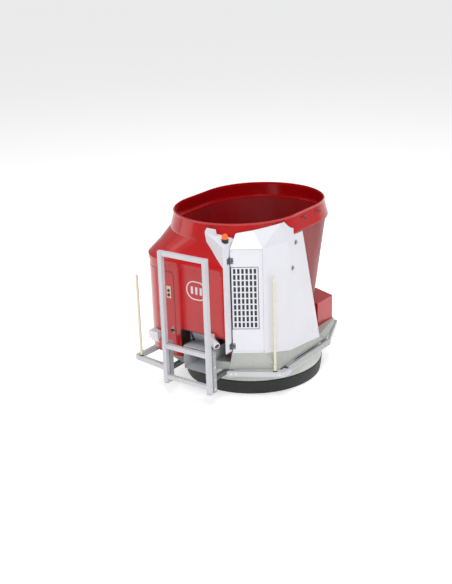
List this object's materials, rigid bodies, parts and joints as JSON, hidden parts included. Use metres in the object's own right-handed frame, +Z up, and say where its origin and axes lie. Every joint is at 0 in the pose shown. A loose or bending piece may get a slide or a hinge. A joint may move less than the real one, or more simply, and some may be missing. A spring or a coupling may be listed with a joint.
{
  "type": "self-propelled feed mixing cart",
  "caption": "Self-propelled feed mixing cart: tall oval red tub with a vertical auger on a round rubber-skirted base, nose with chute, white side cover, grey front frame",
  "frame": {"origin": "on the floor, under the middle of the overall length and width", "axes": "+Z up, -Y towards the nose, chute and front frame, +X towards the white hood"},
  "size_m": [2.023, 2.6919, 2.365],
  "materials": {
    "red_gloss": "gloss",
    "white_panel": "satin",
    "deck_grey": "satin",
    "frame_grey": "satin",
    "dark_steel": "satin",
    "bare_steel": "satin",
    "skirt_sheet": "satin",
    "rubber_black": "matte",
    "tyre_black": "matte",
    "rail_alu": "satin",
    "plastic_black": "matte",
    "plastic_white": "satin",
    "rod_cream": "satin",
    "lens_orange": "gloss",
    "plate_cream": "satin",
    "motor_blue": "satin",
    "bolt_zinc": "satin",
    "lens_dark": "gloss"
  },
  "bodies": {
    "base": {"chassis_frame": "dark_steel", "wheel_motor_left": "dark_steel", "wheel_motor_right": "dark_steel", "tub": "red_gloss", "collar": "red_gloss", "auger_gearbox": "dark_steel", "auger_motor": "motor_blue", "chute": "frame_grey", "gate_guides": "dark_steel", "deck": "deck_grey", "nose_skin": "red_gloss", "nose_shoulder": "red_gloss", "badge": "plastic_white", "corner_strip": "white_panel", "hood_sill": "deck_grey", "right_hood": "white_panel", "door_hinges": "dark_steel", "left_cover": "white_panel", "rear_housing": "red_gloss", "battery_packs": "plastic_black", "inverter_cabinet": "frame_grey", "beacon_base": "plastic_black", "beacon_lens": "lens_orange", "sensor_right": "plastic_white", "sensor_right_lens": "lens_dark", "frame_legs": "dark_steel", "bumper_bars": "frame_grey", "side_rails": "rail_alu", "rear_bumper": "rail_alu"},
    "skirt": {"skirt_rubber": "rubber_black", "skirt_steel": "skirt_sheet", "skirt_bolts": "bolt_zinc"},
    "roller_rear": {"skirt_roller_rear": "plastic_black"},
    "roller_left": {"skirt_roller_left": "plastic_black"},
    "roller_right": {"skirt_roller_right": "plastic_black"},
    "wheel_left": {"wheel_rim_left": "bare_steel", "wheel_tyre_left": "tyre_black"},
    "wheel_right": {"wheel_rim_right": "bare_steel", "wheel_tyre_right": "tyre_black"},
    "caster": {"caster_fork": "bare_steel"},
    "caster_roll": {"caster_wheel": "tyre_black"},
    "auger": {"auger_core": "bare_steel", "auger_flight": "bare_steel", "auger_knives": "bare_steel"},
    "gate": {"gate_plate": "white_panel"},
    "hatch": {"service_hatch": "red_gloss", "control_plate": "plate_cream", "sensor_left": "plastic_white"},
    "hatch_turn": {"hatch_latch": "plastic_black"},
    "button_upper": {"push_button_upper": "plastic_black"},
    "button_lower": {"push_button_lower": "plastic_black"},
    "door": {"side_door": "white_panel", "door_grille": "white_panel", "fan_shroud": "plastic_black"},
    "fan": {"fan_rotor": "plastic_black"},
    "latch_upper": {"hood_latch_upper": "dark_steel"},
    "latch_lower": {"hood_latch_lower": "dark_steel"},
    "bumper_frame": {"front_frame": "frame_grey"},
    "rod_left": {"whisker_left": "rod_cream"},
    "rod_right": {"whisker_right": "rod_cream"}
  },
  "joints": [
    {"name": "skirt_spin", "type": "hinge", "parent": "base", "child": "skirt", "pos_m": [0, 0.176, 0.2], "axis": [0, 0, 1], "continuous": true},
    {"name": "roller_rear_spin", "type": "hinge", "parent": "base", "child": "roller_rear", "pos_m": [0, 1.0117, 0.2], "axis": [0, 0, 1], "continuous": true},
    {"name": "roller_left_spin", "type": "hinge", "parent": "base", "child": "roller_left", "pos_m": [-0.72374, -0.24185, 0.2], "axis": [0, 0, 1], "continuous": true},
    {"name": "roller_right_spin", "type": "hinge", "parent": "base", "child": "roller_right", "pos_m": [0.72374, -0.24185, 0.2], "axis": [0, 0, 1], "continuous": true},
    {"name": "wheel_left_spin", "type": "hinge", "parent": "base", "child": "wheel_left", "pos_m": [-0.52, 0.326, 0.155], "axis": [1, 0, 0], "continuous": true},
    {"name": "wheel_right_spin", "type": "hinge", "parent": "base", "child": "wheel_right", "pos_m": [0.52, 0.326, 0.155], "axis": [1, 0, 0], "continuous": true},
    {"name": "caster_swivel", "type": "hinge", "parent": "base", "child": "caster", "pos_m": [0, -0.344, 0.337], "axis": [0, 0, 1], "continuous": true},
    {"name": "caster_roll_spin", "type": "hinge", "parent": "caster", "child": "caster_roll", "pos_m": [0, -0.294, 0.1], "axis": [1, 0, 0], "continuous": true},
    {"name": "auger_spin", "type": "hinge", "parent": "base", "child": "auger", "pos_m": [0, 0.176, 0.44], "axis": [0, 0, 1], "continuous": true},
    {"name": "gate_lift", "type": "slide", "parent": "base", "child": "gate", "axis": [0, -0.4226, 0.9063], "range_m": [0, 0.18]},
    {"name": "hatch_swing", "type": "hinge", "parent": "base", "child": "hatch", "pos_m": [-0.973, -0.327, 1.2], "axis": [0, 0, -1], "range_deg": [0, 8]},
    {"name": "hatch_latch_turn", "type": "hinge", "parent": "hatch", "child": "hatch_turn", "pos_m": [-0.366, -1.116, 0.905], "axis": [0, -1, 0], "range_deg": [0, 90]},
    {"name": "button_upper_press", "type": "slide", "parent": "hatch", "child": "button_upper", "axis": [0, 1, 0], "range_m": [0, 0.004], "stiffness_N_per_m": 300},
    {"name": "button_lower_press", "type": "slide", "parent": "hatch", "child": "button_lower", "axis": [0, 1, 0], "range_m": [0, 0.004], "stiffness_N_per_m": 300},
    {"name": "door_swing", "type": "hinge", "parent": "base", "child": "door", "pos_m": [0.479, -0.996, 1.4], "axis": [0, 0, -1], "range_deg": [0, 75]},
    {"name": "fan_spin", "type": "hinge", "parent": "door", "child": "fan", "pos_m": [0.60506, -0.85513, 1.45], "axis": [-0.5356, 0.8445, 0], "continuous": true},
    {"name": "latch_upper_turn", "type": "hinge", "parent": "base", "child": "latch_upper", "pos_m": [0.913, -0.154, 2.03], "axis": [1, 0, 0], "range_deg": [0, 90]},
    {"name": "latch_lower_turn", "type": "hinge", "parent": "base", "child": "latch_lower", "pos_m": [0.925, -0.254, 1.72], "axis": [1, 0, 0], "range_deg": [0, 90]},
    {"name": "bumper_push", "type": "slide", "parent": "base", "child": "bumper_frame", "axis": [0, 1, 0], "range_m": [0, 0.02], "stiffness_N_per_m": 20000},
    {"name": "rod_left_tilt", "type": "hinge", "parent": "base", "child": "rod_left", "pos_m": [-0.9, -1.15, 0.4603], "axis": [1, 0, 0], "range_deg": [-5, 5], "stiffness_Nm_per_rad": 150},
    {"name": "rod_right_tilt", "type": "hinge", "parent": "base", "child": "rod_right", "pos_m": [0.894, -0.645, 0.4603], "axis": [1, 0, 0], "range_deg": [-5, 5], "stiffness_Nm_per_rad": 150}
  ],
  "couplings": [
    {"joint": "roller_rear_spin", "follows": "skirt_spin", "ratio": 17.72},
    {"joint": "roller_left_spin", "follows": "skirt_spin", "ratio": 17.72},
    {"joint": "roller_right_spin", "follows": "skirt_spin", "ratio": 17.72}
  ]
}
